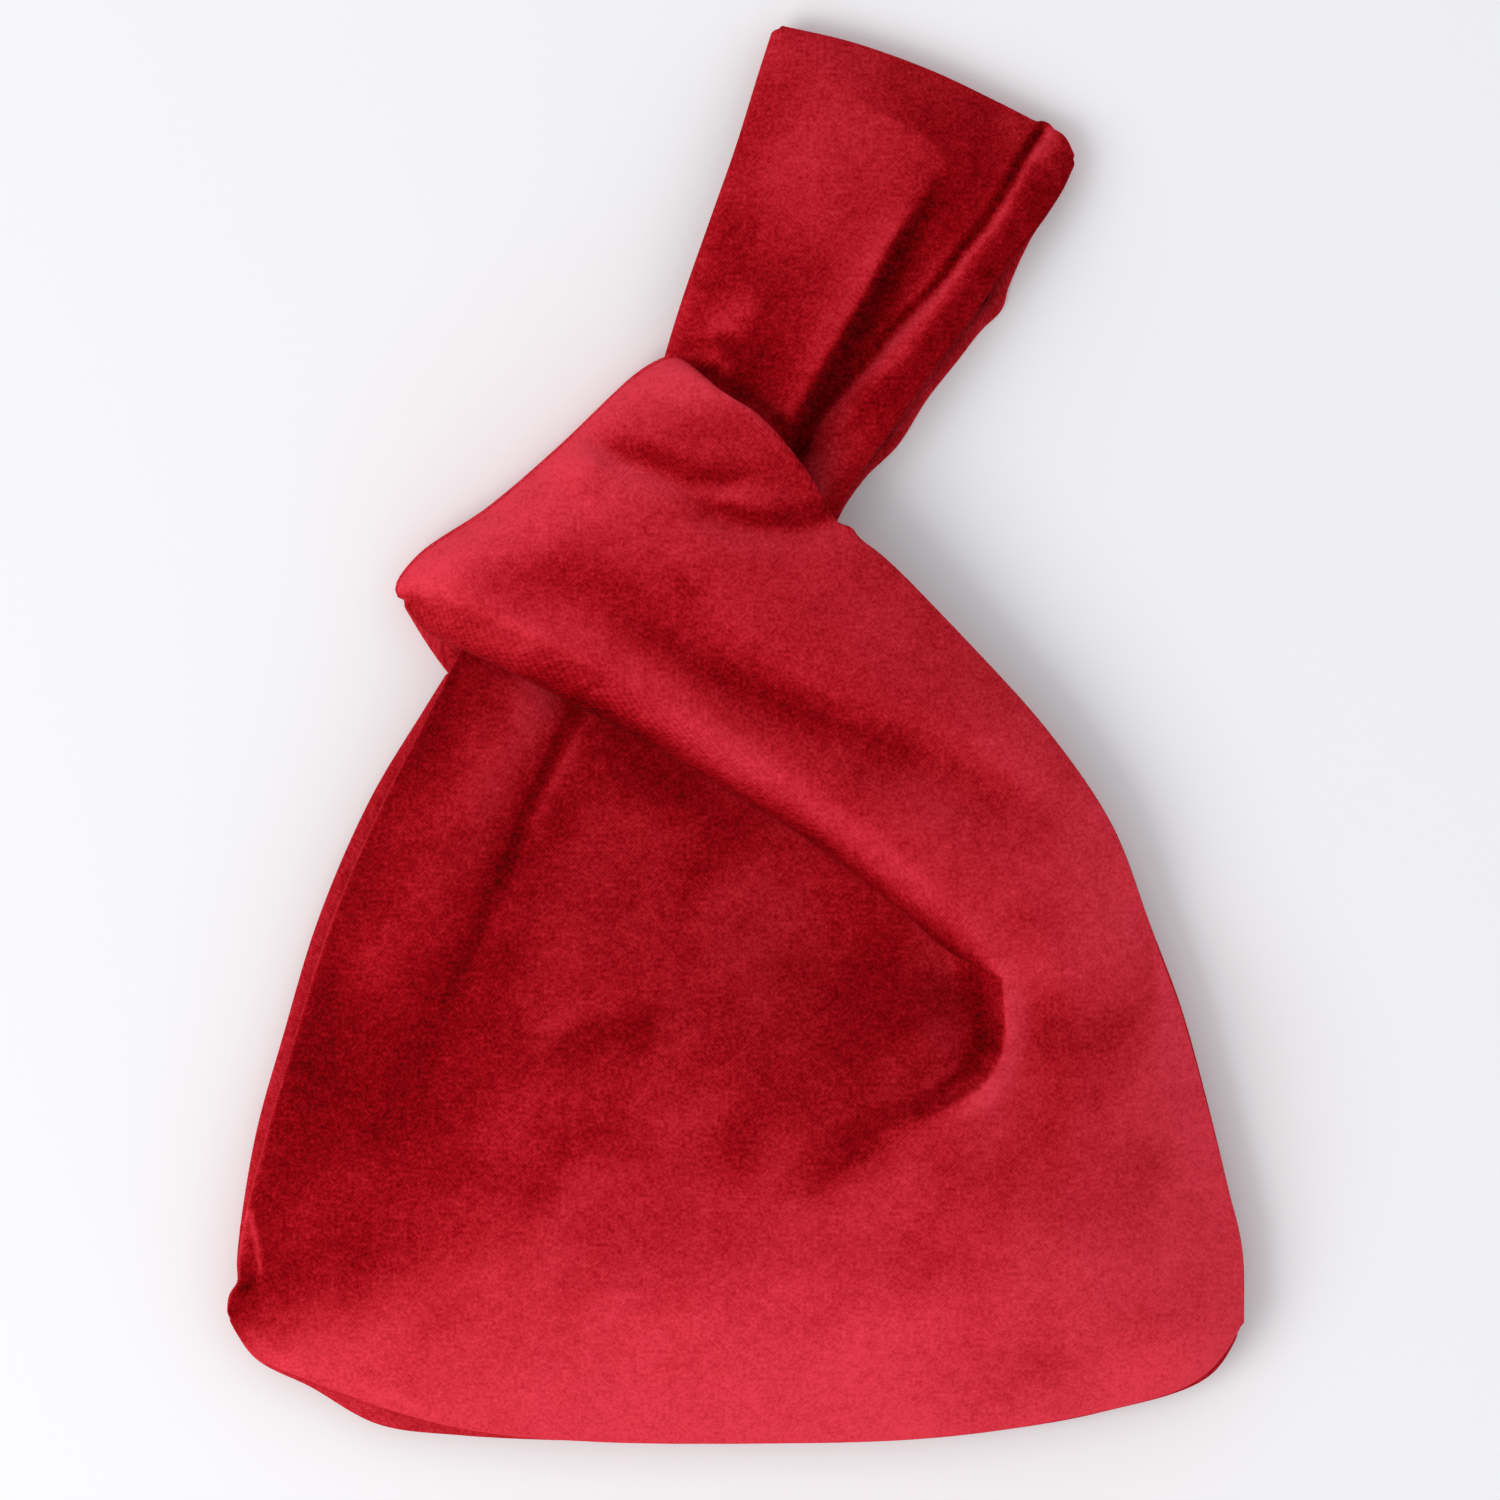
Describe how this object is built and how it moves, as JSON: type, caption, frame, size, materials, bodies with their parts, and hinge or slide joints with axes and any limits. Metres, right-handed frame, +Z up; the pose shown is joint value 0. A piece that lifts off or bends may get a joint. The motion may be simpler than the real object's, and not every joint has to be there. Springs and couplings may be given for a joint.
{
  "type": "knot bag",
  "caption": "Small velvet knot bag lying on its back: a full pouch whose long handle is drawn through its short one and makes a wrist loop.",
  "frame": {"origin": "on the surface the bag lies on, under the middle of its outline seen from above", "axes": "+Y from the bottom seam to the wrist loop, +Z up from the surface through the bag's thickness, +X to the right as seen from above"},
  "size_m": [0.2082, 0.2903, 0.0376],
  "materials": {
    "velvet": "short dense pile velvet",
    "lining": "plain woven satin lining",
    "seam": "turned-in velvet edges, sewn with matching thread"
  },
  "bodies": {
    "pouch": {"outer_front_panel": "velvet", "outer_back_panel": "velvet", "short_handle_front_strap": "velvet", "short_handle_back_strap": "velvet", "long_handle_front_root": "velvet", "long_handle_back_root": "velvet", "lining_front_panel": "lining", "lining_back_panel": "lining", "short_handle_front_lining": "lining", "short_handle_back_lining": "lining", "long_handle_front_root_lining": "lining", "long_handle_back_root_lining": "lining", "left_side_seam": "seam", "right_side_seam": "seam", "bottom_seam": "seam", "left_corner_seam": "seam", "right_corner_seam": "seam", "short_handle_join_seam": "seam"},
    "handle_neck": {"long_handle_front_neck": "velvet", "long_handle_back_neck": "velvet", "long_handle_front_neck_lining": "lining", "long_handle_back_neck_lining": "lining"},
    "wrist_loop": {"wrist_loop_front_strap": "velvet", "wrist_loop_back_strap": "velvet", "wrist_loop_front_lining": "lining", "wrist_loop_back_lining": "lining", "wrist_loop_join_seam": "seam"}
  },
  "joints": [
    {"name": "knot_slide", "type": "slide", "parent": "pouch", "child": "handle_neck", "axis": [0.4264, 0.9045, 0], "range_m": [-0.004, 0.012]},
    {"name": "wrist_loop_swing", "type": "hinge", "parent": "handle_neck", "child": "wrist_loop", "pos_m": [0.0095, 0.0641, 0.022], "axis": [0.6585, -0.7526, 0], "range_deg": [0, 150]}
  ]
}
